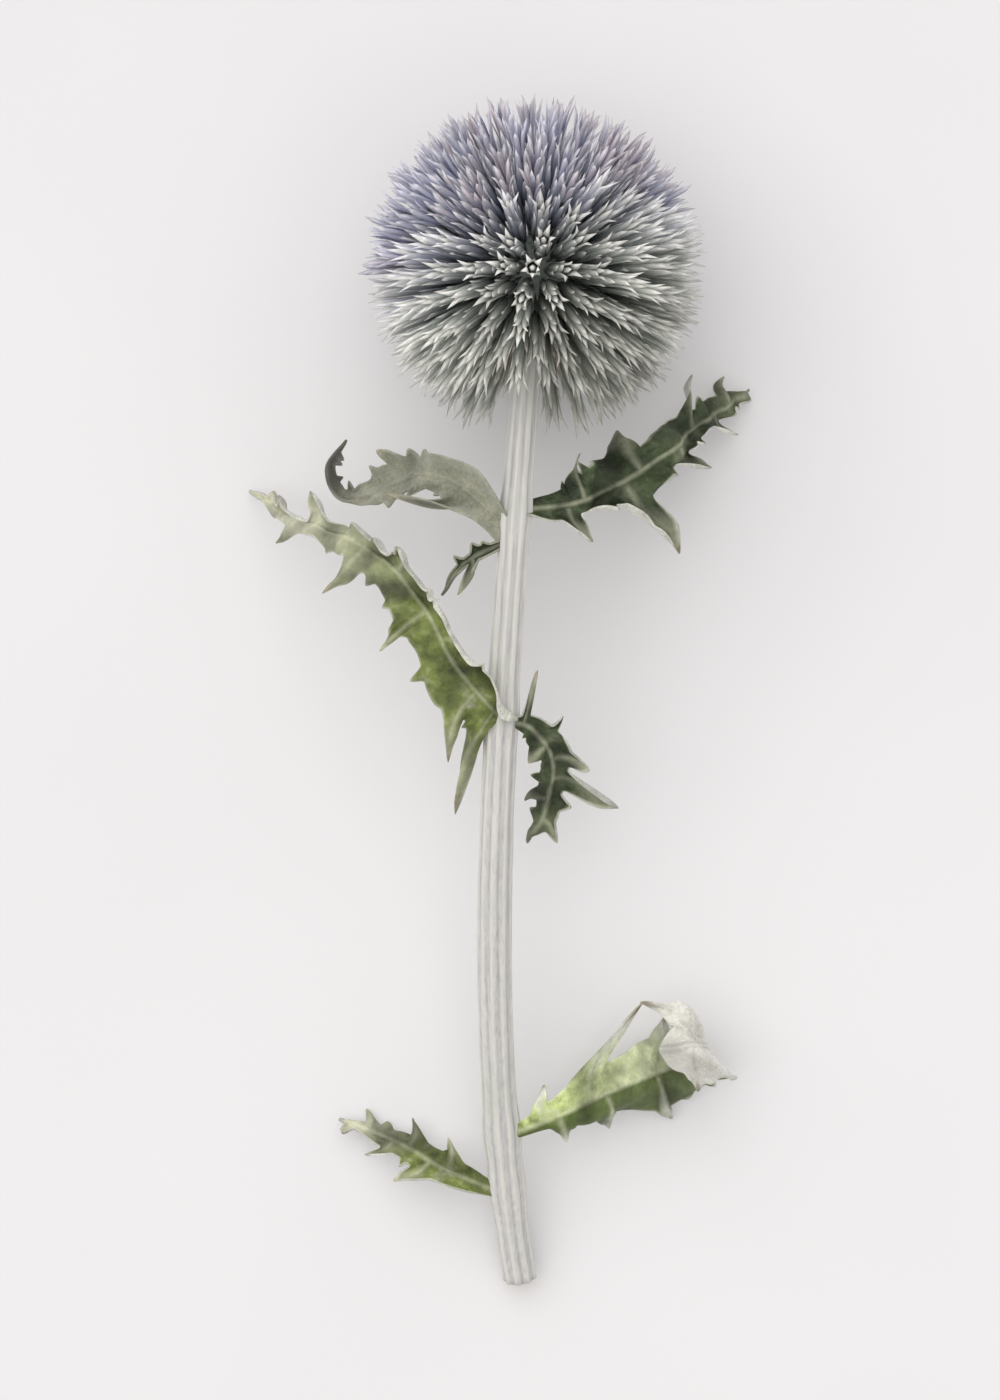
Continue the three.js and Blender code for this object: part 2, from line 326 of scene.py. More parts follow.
# The bloom is fullest this way from the middle of the head, and a floret is open where the cosine
# of its angle to that way is above the edge. In the first so many rings half or more are open.
BLOOM_WAY = Vector((-0.24, 0.95, -0.2)).normalized()
BLOOM_EDGE = 0.17
BLOOM_SCATTER = 0.06
# Each copy of a floret is stretched a little and sways a little, in mm at its tip, and no tip
# comes nearer to the table than the clearance.
STRETCH = (0.975, 1.02)
SWAY = 0.5
TIP_CLEARANCE = 0.05

# A floret's own heights are measured from the middle of the head.
FLORET_FOOT = 4.65
STEM_LENGTH = 5
STEM_RADIUS = 0.28
HAIR_RADIUS = 0.07
# The tuft: how many bristles, the heights of their feet and tips, and how far they spread.
TUFT = (7, 6.8, 10.8, 0.85)
# Each whorl of bracts: how many, the heights of their feet and tips, how far they bulge, close in
# and spread their spines, and half their breadth.
SHUT_WHORLS = (
    (3, 8.0, 14.6, 0.62, 0.3, 0.4, 0.55),
    (4, 8.8, 17.4, 0.62, 0.7, 0.45, 0.56),
    (5, 9.6, 20.2, 0.5, 0.85, 1.0, 0.5),
)
OPEN_WHORLS = (
    (3, 8.0, 13.2, 0.6, 0.3, 0.2, 0.5),
    (4, 8.8, 15.4, 0.55, 0.4, 0.3, 0.52),
    (4, 9.6, 17.0, 0.45, 0.3, 0.4, 0.48),
)
# A bract is a keeled scale that thins to a spine and spreads there. Both come in with SPINE_POWER
# of the share of its length.
BRACT_STEPS = 6
BRACT_KEEL = 0.16
SPINE_POWER = 6
SPINE_HALF_WIDTH = 0.06
PETALS = 5
PETAL_STEPS = 6
PETAL_FOOT = 14.2
PETAL_TIPS = (18.9, 20.4)
PETAL_REACH = (0.4, 1.15)
PETAL_CURL = (0.0, 0.5)
PETAL_KEEL = 0.12
ANTHER_FOOT = 13.5
ANTHER_TIPS = (18.7, 20.2)
ANTHER_RADIUS = 0.2
COROLLA_FOOT = 11
COROLLA_TIPS = (18.6, 19.3)
COROLLA_RADIUS = 0.46

# Bract colours from foot to spine: where the bloom is least, where it is fullest, at the margins,
# and where the oldest, next to the stalk, have weathered to a dull olive by this much.
# The dark foot of each run is partly the bract's own slate and partly painted shade for the depths of the
# head.
GREY_BRACT = [(0.0, "#4c5652"), (0.3, "#717a75"), (0.62, "#a0a69f"), (0.83, "#e0e1da"), (0.94, "#fdfbf4")]
BLUE_BRACT = [(0.0, "#465060"), (0.3, "#6f778a"), (0.62, "#9b9eb2"), (0.83, "#d9d9e3"), (0.94, "#f7f5f8")]
BRACT_MARGIN = "#e6e4dc"
WEATHERED_BRACT = "#7a7963"
WEATHERING = 0.45
# Petal colours from throat to tip, in the lavender patches and in the mauve ones.
LAVENDER_PETAL = [(0.0, "#767995"), (0.4, "#a2a5bf"), (0.75, "#cccddc"), (1.0, "#e6e3ec")]
MAUVE_PETAL = [(0.0, "#7a7281"), (0.4, "#a69ba8"), (0.75, "#cbc2ca"), (1.0, "#e2dadd")]
# Painted shade: how light a point is painted in the depths of the head, where shade falls among the
# florets, and at its surface.
DEEP_PAINTED_SHADE = 0.55
SURFACE_UNSHADED_TONE = 1.02


def tone_of(tree, place, spot, darkest, lightest):
    """How light a point is: its own floret's share, a mottle of spots this large in mm, and a painted
    shade that darkens it towards the depths of the head."""
    mottle = add_node(tree, "TexNoise", {"Vector": place, "Scale": size(spot), "Detail": 3.0})
    shade = add_node(tree, "Attribute", attribute_name="shade")
    sockets = {0: shade.outputs["Fac"], 1: mottle.outputs["Fac"]}
    both = add_node(tree, "Math", sockets, operation="ADD").outputs["Value"]
    span = {"From Min": 0.3, "From Max": 1.7, "To Min": darkest, "To Max": lightest}
    own = add_node(tree, "MapRange", {"Value": both, **span}).outputs["Result"]
    # Painted shade: the rise from the ball to the head's surface darkens the florets deep in the head.
    rise = add_node(tree, "Attribute", attribute_name="rise").outputs["Fac"]
    span = {"From Min": 0.2, "From Max": 0.8, "To Min": DEEP_PAINTED_SHADE, "To Max": SURFACE_UNSHADED_TONE}
    depth = add_node(tree, "MapRange", {"Value": rise, **span}).outputs["Result"]
    return add_node(tree, "Math", {0: own, 1: depth}, operation="MULTIPLY").outputs["Value"]


def between_runs(tree, along, share, first, second):
    """The colour along a piece, from the first run of stops where share is 0 to the second where
    it is 1."""
    sockets = {"Factor": share}
    for side, stops in (("A", first), ("B", second)):
        run = add_node(tree, "ValToRGB", {"Fac": along})
        set_stops(run, stops)
        sockets[side] = run.outputs["Color"]
    return add_node(tree, "Mix", sockets, data_type="RGBA").outputs["Result"]


def colour_surface(tree, surface, colour, tone):
    """Gives the surface this colour, made lighter or darker by tone."""
    toned = add_node(tree, "HueSaturation", {"Value": tone, "Color": colour})
    tree.links.new(toned.outputs["Color"], surface.inputs["Base Color"])


# Bract: dry, papery and finely ciliate. It is dark slate at its foot, partly its own colour and partly
# painted shade of the head's depths, grey-green or lavender along its back, and silver-white at its
# margins and spine, which gives each cup its pale outline. The attributes run along it, out to its
# margin, up from the head's ball to its surface, which sets the painted shade of the depths, and by the
# bloom of the head where it stands.
def make_bract_finish():
    material, tree, surface, place = new_finish("papery_bract", 0.7)
    along = add_node(tree, "Attribute", attribute_name="along").outputs["Fac"]
    bloom = add_node(tree, "Attribute", attribute_name="bloom").outputs["Fac"]
    edge = add_node(tree, "Attribute", attribute_name="edge").outputs["Fac"]
    sockets = {"Value": bloom, "From Min": 0.3, "From Max": 0.72}
    share = add_node(tree, "MapRange", sockets, interpolation_type="SMOOTHSTEP").outputs["Result"]
    back = between_runs(tree, along, share, GREY_BRACT, BLUE_BRACT)
    rim = add_node(tree, "Math", {0: edge, 1: 3.0}, operation="POWER").outputs["Value"]
    margin = add_node(tree, "Math", {0: rim, 1: along}, operation="MULTIPLY").outputs["Value"]
    layers = [
        (margin, {"To Max": 0.62}, BRACT_MARGIN),
        (bloom, {"From Max": 0.3, "To Min": WEATHERING, "To Max": 0.0}, WEATHERED_BRACT),
    ]
    tone = tone_of(tree, place, 0.8, 0.75, 1.3)
    colour_surface(tree, surface, laid_over(tree, back, layers), tone)
    return material


# Petal: thin and dry, lavender fading to silver at the tip, and drifting to mauve in patches.
def make_petal_finish():
    material, tree, surface, place = new_finish("dried_petal", 0.62)
    surface.inputs["Sheen Weight"].default_value = 0.25
    along = add_node(tree, "Attribute", attribute_name="along").outputs["Fac"]
    drift = add_node(tree, "TexNoise", {"Vector": place, "Scale": size(9), "Detail": 1.0})
    sockets = {"Value": drift.outputs["Fac"], "From Min": 0.42, "From Max": 0.62}
    share = add_node(tree, "MapRange", sockets).outputs["Result"]
    colour = between_runs(tree, along, share, LAVENDER_PETAL, MAUVE_PETAL)
    # Its tone includes the painted shade of the head's depths.
    colour_surface(tree, surface, colour, tone_of(tree, place, 1.1, 0.8, 1.25))
    return material


# A plain dry fibre, matt and slightly mottled, whose colour runs from its root to its tip.
def make_fibre_finish(name, stops):
    material, tree, surface, place = new_finish(name, 0.6)
    along = add_node(tree, "Attribute", attribute_name="along").outputs["Fac"]
    hue = add_node(tree, "ValToRGB", {"Fac": along})
    set_stops(hue, stops)
    mottle = add_node(tree, "TexNoise", {"Vector": place, "Scale": size(0.9), "Detail": 3.0})
    sockets = {"Value": mottle.outputs["Fac"], "To Min": 0.7, "To Max": 1.3}
    tone = add_node(tree, "MapRange", sockets).outputs["Result"]
    colour_surface(tree, surface, hue.outputs["Color"], tone)
    return material


# Anther column: the dark slate-blue tube of joined anthers, with the pale tip of the style.
# Floret bristle: a stiff straw-white hair. Shut corolla: the smooth pale tip of unopened petals.
# Floret foot: the short dark stem that each floret stands on, deep inside the head.
ANTHER_STOPS = [(0.0, "#9a9cb2"), (0.5, "#73758c"), (0.85, "#8d8fa4"), (1.0, "#e4e1ea")]
BRACT, PETAL, ANTHER, BRISTLE, COROLLA, FOOT = range(6)
floret_finishes = [
    make_bract_finish(),
    make_petal_finish(),
    make_fibre_finish("anther_column", ANTHER_STOPS),
    make_fibre_finish("floret_bristle", [(0.0, "#807f78"), (1.0, "#cdc9bc")]),
    make_fibre_finish("shut_corolla", [(0.0, "#5b6470"), (0.6, "#b4b8bb"), (1.0, "#fbf9f2")]),
    make_fibre_finish("floret_foot", [(0.0, "#626963"), (1.0, "#7f867f")]),
]


def add_sliver(bm, sides, steps, finish, placed):
    """A closed sliver with pointed ends. placed(x, y, t) gives the place of a point of it, where
    x and y are from -1 to 1 across it and t is from 0 to 1 along it."""
    verts, foot, tip = draw_tube(bm, sides, steps)
    for face in {face for vert in verts for face in vert.link_faces}:
        face.material_index = finish
    bmesh.ops.pointmerge(bm, verts=foot, merge_co=(0, 0, 0))
    bmesh.ops.pointmerge(bm, verts=tip, merge_co=(0, 0, 1))
    along = bm.verts.layers.float["along"]
    edge = bm.verts.layers.float["edge"]
    for vert in {vert for vert in verts if vert.is_valid}:
        vert[along] = vert.co.z
        vert[edge] = abs(vert.co.x)
        vert.co = placed(vert.co.x, vert.co.y, vert.co.z)


def add_scale(bm, turn, finish, steps, course, half_width, keel):
    """A keeled sliver that stands beside the floret's axis, on the side that turn says. course(t)
    gives its distance from the axis and its height, and half_width(t) half its breadth."""
    outward = Vector((math.cos(turn), math.sin(turn), 0))
    sideways = Vector((-math.sin(turn), math.cos(turn), 0))

    def placed(x, y, t):
        distance, height = course(t)
        across = outward * (distance + keel * y) + sideways * half_width(t) * x
        return across + Vector((0, 0, height))

    add_sliver(bm, 3, steps, finish, placed)


def add_whorl(bm, rng, count, foot, tip, belly, close, flare, breadth):
    """A whorl of bracts from height foot to height tip. They bulge by belly, close in by close
    above it, and spread their spines by flare."""
    start = rng.uniform(0, math.pi)
    for i in range(count):
        turn = start + 2 * math.pi * (i + rng.uniform(-0.16, 0.16)) / count
        length = (tip - foot) * rng.uniform(0.9, 1.0)
        spread = flare * rng.uniform(0.6, 1.4)
        swell = belly * rng.uniform(0.92, 1.08)

        def course(t):
            bulge = swell * math.sin(math.pi * min(0.5, 0.12 + 0.9 * t))
            closed = close * max(0, t - 0.4) ** 1.2
            return 0.2 + bulge - closed + spread * t**SPINE_POWER, foot + length * t

        def half_width(t):
            body = breadth * math.sin(math.pi * (0.14 + 0.62 * t))
            return body * (1 - t**SPINE_POWER) + SPINE_HALF_WIDTH

        add_scale(bm, turn, BRACT, BRACT_STEPS, course, half_width, BRACT_KEEL)


def add_bristle_tuft(bm, rng, count, foot, tip, spread):
    """Straight stiff hairs round the floret's stem, spreading a little as they rise."""
    for i in range(count):
        turn = 2 * math.pi * (i + rng.random()) / count
        reach = spread * rng.uniform(0.7, 1.2)
        rise = tip * rng.uniform(0.88, 1.0) - foot

        def course(t):
            return 0.2 + reach * t, foot + rise * t

        add_scale(bm, turn, BRISTLE, 2, course, lambda t: HAIR_RADIUS, HAIR_RADIUS)


def add_floret_stem(bm, rng):
    """The floret's short stem, and the tuft of bristles round it."""

    def placed(x, y, t):
        return Vector((STEM_RADIUS * x, STEM_RADIUS * y, FLORET_FOOT + STEM_LENGTH * t))

    add_sliver(bm, 4, 2, FOOT, placed)
    add_bristle_tuft(bm, rng, *TUFT)


def new_floret_bmesh():
    """An empty bmesh with the attributes that the florets' finishes read."""
    bm = bmesh.new()
    for mark in ("along", "edge", "rise", "bloom", "shade"):
        bm.verts.layers.float.new(mark)
    return bm


def kept_as_mesh(bm, name):
    """Keeps a drawn floret as a mesh, to be copied into the head."""
    bmesh.ops.recalc_face_normals(bm, faces=bm.faces)
    mesh = bpy.data.meshes.new(name)
    bm.to_mesh(mesh)
    bm.free()
    return mesh


def draw_shut_floret(kind):
    rng = random.Random(SHUT_SEED + kind)
    bm = new_floret_bmesh()
    add_floret_stem(bm, rng)
    for whorl in SHUT_WHORLS:
        add_whorl(bm, rng, *whorl)
    top = rng.uniform(*COROLLA_TIPS)

    def placed(x, y, t):
        girth = COROLLA_RADIUS * math.sin(math.pi * (0.2 + 0.7 * t))
        return Vector((girth * x, girth * y, COROLLA_FOOT + (top - COROLLA_FOOT) * t))

    add_sliver(bm, 5, 4, COROLLA, placed)
    return kept_as_mesh(bm, f"shut_floret_{kind}")


def add_petal(bm, rng, turn):
    """A narrow petal that leans out and curls a little at its tip."""
    reach = rng.uniform(*PETAL_REACH)
    top = rng.uniform(*PETAL_TIPS)
    curl = rng.uniform(*PETAL_CURL)

    def course(t):
        return 0.3 + reach * t**1.4 + curl * t**5, PETAL_FOOT + (top - PETAL_FOOT) * t

    def half_width(t):
        return 0.1 + 0.27 * math.sin(math.pi * (0.1 + 0.62 * t))

    add_scale(bm, turn, PETAL, PETAL_STEPS, course, half_width, PETAL_KEEL)


def draw_open_floret(kind):
    rng = random.Random(OPEN_SEED + kind)
    bm = new_floret_bmesh()
    add_floret_stem(bm, rng)
    for whorl in OPEN_WHORLS:
        add_whorl(bm, rng, *whorl)
    start = rng.random()
    for i in range(PETALS):
        add_petal(bm, rng, start + 2 * math.pi * (i + rng.uniform(-0.2, 0.2)) / PETALS)
    lean = Vector((rng.uniform(-0.4, 0.4), rng.uniform(-0.4, 0.4), 0))
    top = rng.uniform(*ANTHER_TIPS)

    def placed(x, y, t):
        height = ANTHER_FOOT + (top - ANTHER_FOOT) * t
        return Vector((ANTHER_RADIUS * x, ANTHER_RADIUS * y, height)) + lean * t**2

    add_sliver(bm, 4, 4, ANTHER, placed)
    return kept_as_mesh(bm, f"open_floret_{kind}")


open_florets = [draw_open_floret(kind) for kind in range(OPEN_KINDS)]
shut_florets = [draw_shut_floret(kind) for kind in range(SHUT_KINDS)]

# The head stands square on the top of the stalk.
head_up = -course_frame(STALK_COURSE, 0.0)[1]
head_turn = Vector((0, 1, 0)).rotation_difference(head_up).to_matrix()


def add_floret(bm, way, rng):
    """Copies one floret into the head, standing along way from the ball's middle."""
    bloom = way.dot(BLOOM_WAY)
    kinds = open_florets if bloom > BLOOM_EDGE else shut_florets
    before = len(bm.verts)
    bm.from_mesh(rng.choice(kinds))
    bm.verts.ensure_lookup_table()
    rise_mark = bm.verts.layers.float["rise"]
    bloom_mark = bm.verts.layers.float["bloom"]
    shade_mark = bm.verts.layers.float["shade"]
    shade = rng.random()
    stretch = rng.uniform(*STRETCH)
    sway = Vector((rng.uniform(-1, 1), rng.uniform(-1, 1), 0)) * SWAY
    spin = Matrix.Rotation(rng.uniform(0, 2 * math.pi), 3, "Z")
    stand = way.to_track_quat("Z", "Y").to_matrix()
    for vert in bm.verts[before:]:
        vert[bloom_mark] = 0.5 + 0.5 * bloom + BLOOM_SCATTER * (shade - 0.5)
        vert[shade_mark] = shade
        local = spin @ vert.co
        risen = (local.z - FLORET_FOOT) / (HEAD_RADIUS - FLORET_FOOT)
        # The rise also sets the painted shade that darkens the florets deep in the head.
        vert[rise_mark] = risen
        local = local + sway * risen**2
        local.z = FLORET_FOOT + (local.z - FLORET_FOOT) * stretch
        vert.co = HEAD_MIDDLE + stand @ local
        vert.co.z = max(vert.co.z, TIP_CLEARANCE)


def chance(a, b):
    """A repeatable number from 0 to 1 for each pair of whole numbers."""
    return math.sin(a * 12.9898 + b * 78.233) * 43758.5453 % 1


def make_ring(ring, node):
    """One ring of florets. No ring has a 99th floret, so that chance is free to turn the ring."""
    rng = random.Random(ring)
    polar = (ring + 0.5) * RING_STEP
    count = round(2 * math.pi * math.sin(math.radians(polar)) * HEAD_RADIUS / FLORET_PITCH)
    start = 360 * chance(ring, 99)
    bm = new_floret_bmesh()
    for i in range(count):
        lean = math.radians(polar + FLORET_WANDER * (2 * chance(ring, i) - 1))
        turn = FLORET_WANDER * (2 * chance(i, ring) - 1)
        around = math.radians(start + 360 * (i + 0.5) / count + turn)
        off = math.sin(lean)
        way = Vector((off * math.sin(around), math.cos(lean), off * math.cos(around)))
        add_floret(bm, head_turn @ way, rng)
    put_in_frame(bm, f"spiny_florets_{ring + 1:02d}", floret_finishes, node)


ring_nodes = sorted(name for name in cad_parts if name.startswith("florets_ring"))
for ring, node in enumerate(ring_nodes):
    make_ring(ring, node)

# ----------------------------------------------------------
# Base bristles: the short stiff hairs at the very foot of the head, turned back along the stalk.
# They are dry straw with a pinkish brown foot, and grow from the stalk in four close rows.
# ----------------------------------------------------------
BRISTLE_ROWS = 4
BRISTLES_IN_ROW = 22
BRISTLE_SEED = 77
BRISTLE_LENGTHS = (5.5, 9.5)
BRISTLE_RADIUS = 0.12
BRISTLE_BEND = 0.5
# How far the first row stands from the stalk's middle and, along it, from the head's, how much its
# bristles fall away from the stalk, and the step of each from one row to the next.
ROOT_RADIUS = 1.75
ROOT_STEP = 0.25
ROOT_PLACE = -5.2
PLACE_STEP = 0.15
BRISTLE_FALL = (0.12, 0.22)
FALL_STEP = 0.06


def add_base_bristle(bm, rng, row, around):
    length = rng.uniform(*BRISTLE_LENGTHS)
    fall = rng.uniform(*BRISTLE_FALL) + FALL_STEP * row
    out = Vector((math.sin(around), 0, math.cos(around)))
    root = out * (ROOT_RADIUS + ROOT_STEP * row) + Vector((0, ROOT_PLACE + PLACE_STEP * row, 0))
    way = (Vector((0, -1, 0)) + out * fall).normalized()
    across = way.cross(out).normalized()

    def placed(x, y, t):
        girth = (across * x + out * y) * BRISTLE_RADIUS * (1.1 - t)
        local = root + way * length * t + out * (BRISTLE_BEND * t**2) + girth
        return HEAD_MIDDLE + head_turn @ local

    add_sliver(bm, 3, 3, 0, placed)


def make_base_bristles():
    rng = random.Random(BRISTLE_SEED)
    bm = new_floret_bmesh()
    for row in range(BRISTLE_ROWS):
        for i in range(BRISTLES_IN_ROW):
            add_base_bristle(bm, rng, row, 2 * math.pi * (i + rng.random()) / BRISTLES_IN_ROW)
    bmesh.ops.recalc_face_normals(bm, faces=bm.faces)
    finish = make_fibre_finish("base_bristle", [(0.0, "#9a7b6b"), (0.5, "#c2ac9b"), (1.0, "#d9cfbf")])
    put_in_frame(bm, "reflexed_bristles", [finish], "base_bristles")


make_base_bristles()

# ----------------------------------------------------------
# Leaves: stalkless leaves that clasp the stem, cut into narrow lobes that each end in a spine.
# Dried, they have rolled along their length. Above they are green with pale veins, and below they
# wear a thick silver-white felt. Each leaf is one thin sheet, grown from a joint of the stalk.
# ----------------------------------------------------------
LEAF_THICKNESS = 0.3
ROWS_PER_MM = 4.5
FEWEST_ROWS = 90
BLADE_COLUMNS = 18
TEETH_PER_MM = 0.3
TABLE_CLEARANCE = 0.2
LEAST_HALF_WIDTH = 0.06
LEAST_ROLL = 0.001
# Each wave of a dried leaf: its length and height in mm.
CRINKLES = ((8.0, 1.5), (3.4, 1.3), (1.5, 0.5))


def leaf_marks(tree):
    """What a leaf's attributes say of a point: how far it lies from the midrib in mm, how far
    along the leaf, how far out on a lobe, how near a vein, how near the rim, how withered, and how
    high on a crinkle, from about -1 to 1."""
    marks = []
    for name in ("blade", "lines"):
        mark = add_node(tree, "Attribute", attribute_name=name).outputs["Vector"]
        parts = add_node(tree, "SeparateXYZ", {"Vector": mark}).outputs
        marks += [parts["X"], parts["Y"], parts["Z"]]
    return marks + [add_node(tree, "Attribute", attribute_name="wave").outputs["Fac"]]


def rib_heights(tree, across, vein, crest, foot, midrib_height):
    """How high the veins and the midrib stand. The midrib falls from its crest to its foot, each
    so many mm from its middle."""
    from_middle = add_node(tree, "Math", {0: across}, operation="ABSOLUTE").outputs["Value"]
    span = {"From Min": crest, "From Max": foot, "To Min": midrib_height, "To Max": 0.0}
    midrib = add_node(tree, "MapRange", {"Value": from_middle, **span}).outputs["Result"]
    return add_node(tree, "Math", {0: vein, 1: midrib}, operation="MAXIMUM").outputs["Value"]


def raise_surface(tree, surface, relief):
    """Bumps a leaf's surface. A relief of 1 stands 0.3 mm proud."""
    bump = add_node(tree, "Bump", {"Height": relief, "Strength": 0.8, "Distance": 0.0003})
    tree.links.new(bump.outputs["Normal"], surface.inputs["Normal"])


# Leaf upper side: a dry, faintly glossy skin, mottled where it has faded, lighter on the crests of its
# crinkles, partly from bleaching and partly as painted light, and darker in their hollows as painted
# shade, with fine pale veins and brownish spines.
def make_leaf_top(name, dark, fresh, faded, lobe_end, fading, painted_shade_half=0.0):
    """dark, fresh and faded are the mottle's colours, and lobe_end is the lobes'. The leaf fades over the
    stretch of its length that fading gives. The last argument is how far its right half is painted
    towards dark, as painted shade on the half turned from the light."""
    material, tree, surface, place = new_finish(name, 0.5)
    across, along, lobe, vein, rim, withered, wave = leaf_marks(tree)
    sockets = {"Vector": place, "Scale": size(3.2), "Detail": 6.0, "Roughness": 0.62}
    mottle = add_node(tree, "TexNoise", sockets).outputs["Fac"]
    green = add_node(tree, "ValToRGB", {"Fac": mottle})
    set_stops(green, [(0.3, dark), (0.55, fresh), (0.78, faded)])
    ribs = rib_heights(tree, across, vein, 0.1, 0.45, 1.0)
    layers = [
        (along, {"From Min": fading[0], "From Max": fading[1]}, faded),
        # Painted shade: the right half darkens towards the dark colour.
        (across, {"From Min": -0.2, "From Max": 0.5, "To Max": painted_shade_half}, dark),
        (withered, {"From Min": 0.1, "From Max": 0.9, "To Max": 0.8}, faded),
        (lobe, {"From Min": 0.2, "From Max": 0.7, "To Max": 0.85}, lobe_end),
        (ribs, {"To Max": 0.35}, "#c6c8ab"),
        (rim, {"From Min": 0.88, "From Max": 1.0, "To Max": 0.55}, "#cfd0bd"),
        (lobe, {"From Min": 0.7, "From Max": 0.85}, "#aea58a"),
    ]
    colour = laid_over(tree, green.outputs["Color"], layers)
    streaks = add_node(tree, "TexNoise", {"Vector": place, "Scale": size(1.4), "Detail": 5.0})
    span = {"From Min": 0.3, "From Max": 0.7, "To Min": 0.78, "To Max": 1.18}
    patchy = add_node(tree, "MapRange", {"Value": streaks.outputs["Fac"], **span}).outputs["Result"]
    # Partly real bleaching, partly painted: the crests are lighter and the hollows darker, as painted
    # shade.
    span = {"From Min": -0.6, "From Max": 0.6, "To Min": 0.6, "To Max": 1.4}
    bleach_and_painted_shade = add_node(tree, "MapRange", {"Value": wave, **span}).outputs["Result"]
    tone = add_node(tree, "Math", {0: patchy, 1: bleach_and_painted_shade}, operation="MULTIPLY").outputs["Value"]
    colour_surface(tree, surface, colour, tone)
    grain = add_node(tree, "TexNoise", {"Vector": place, "Scale": size(0.6), "Detail": 3.0})
    sockets = {0: ribs, 1: 0.8, 2: grain.outputs["Fac"]}
    relief = add_node(tree, "Math", sockets, operation="MULTIPLY_ADD").outputs["Value"]
    raise_surface(tree, surface, relief)
    return material


# Felt: matted white hairs under the leaf, so thick that the veins show only as soft ridges. The
# hairs are drawn about twenty times as coarse as they are, because real ones would not show.
def make_leaf_felt(name, shade, light, tip="#b5b1a0", tip_from=0.85):
    """shade and light are the felt's own colours, and tip the one it takes on towards the leaf's
    tip, from this share of its length on."""
    material, tree, surface, place = new_finish(name, 0.95)
    surface.inputs["Sheen Weight"].default_value = 0.4
    surface.inputs["Sheen Roughness"].default_value = 0.6
    across, along, lobe, vein, *_, wave = leaf_marks(tree)
    sockets = {"Vector": place, "Scale": size(2.5), "Detail": 4.0}
    patches = add_node(tree, "TexNoise", sockets).outputs["Fac"]
    sockets = {"Vector": place, "Scale": size(0.4), "Detail": 5.0, "Distortion": 1.2}
    hairs = add_node(tree, "TexNoise", sockets).outputs["Fac"]
    both = add_node(tree, "Math", {0: patches, 1: hairs}, operation="ADD").outputs["Value"]
    cover = add_node(tree, "Math", {0: both, 1: 0.5}, operation="MULTIPLY").outputs["Value"]
    felt = add_node(tree, "ValToRGB", {"Fac": cover})
    set_stops(felt, [(0.36, shade), (0.62, light)])
    layers = [
        (along, {"From Min": tip_from, "From Max": tip_from + 0.2, "To Max": 0.9}, tip),
        (lobe, {"From Min": 0.7, "From Max": 0.85}, "#9d9580"),
    ]
    colour = laid_over(tree, felt.outputs["Color"], layers)
    # Painted shade and light: the felt is lighter where its crinkles bulge down and darker where they
    # recede.
    sockets = {"Value": wave, "From Min": -0.5, "From Max": 0.5, "To Min": 1.15, "To Max": 0.8}
    tone = add_node(tree, "MapRange", sockets).outputs["Result"]
    colour_surface(tree, surface, colour, tone)
    sockets = {0: hairs, 1: 0.6, 2: rib_heights(tree, across, vein, 0.15, 0.6, 1.5)}
    relief = add_node(tree, "Math", sockets, operation="MULTIPLY_ADD").outputs["Value"]
    raise_surface(tree, surface, relief)
    return material


def frames_along(points, rows):
    """Places along a curve, each with the directions ahead, to the side and above, carried along
    the curve so that they never flip, even where it turns over."""
    frames = []
    side = None
    for row in range(rows + 1):
        t = row / rows
        ahead = heading(points, t)
        side = ahead.cross(UP) if side is None else side - ahead * side.dot(ahead)
        side.normalize()
        frames.append((on_course(points, t), ahead, side.copy(), side.cross(ahead)))
    return frames


def peak(place, middle, half_base, sharpness=1.0):
    """A rise from 0 to 1 and back round middle. The higher sharpness is, the thinner its point."""
    return max(0.0, 1 - abs(place - middle) / half_base) ** sharpness


def lobe_outline(place, middle, half_base):
    """A lobe's outline: a full body that ends in a thin spine, with a small spine either side."""
    body = 0.7 * peak(place, middle, half_base, 0.85)
    spine = 0.3 * peak(place, middle, max(0.4, 0.32 * half_base))
    barbs = peak(place, middle - 0.6 * half_base, 0.35) + peak(place, middle + 0.5 * half_base, 0.35)
    return body + spine + 0.12 * barbs


def crinkle(across, along, seed):
    """The height of a dried leaf's waves at a point so many mm across and along it."""
    return sum(
        height * noise.noise(Vector((across / length + seed, along / length, seed)))
        for length, height in CRINKLES
    )


def scattered_teeth(rng, span):
    """The small spines on a leaf's margins between its lobes: the place of each along the leaf in
    mm, its side, its length and half its breadth."""
    teeth = []
    for _ in range(round(TEETH_PER_MM * span)):
        middle = rng.uniform(0.1, 0.95) * span
        hand = rng.choice((-1, 1))
        length = rng.uniform(0.7, 1.6)
        half_base = rng.uniform(0.4, 0.8)
        teeth.append((middle, hand, length, half_base))
    return teeth


def grown_lobes(rng, span, lobes):
    """The lobes with their places in mm, each with a chance tilt, curl and age of its own."""
    grown = []
    for place, *shape in lobes:
        tilt = rng.uniform(-0.4, 0.4)
        curl = rng.uniform(-0.15, 0.3)
        grown.append((place * span, *shape, tilt, curl, rng.random()))
    return grown


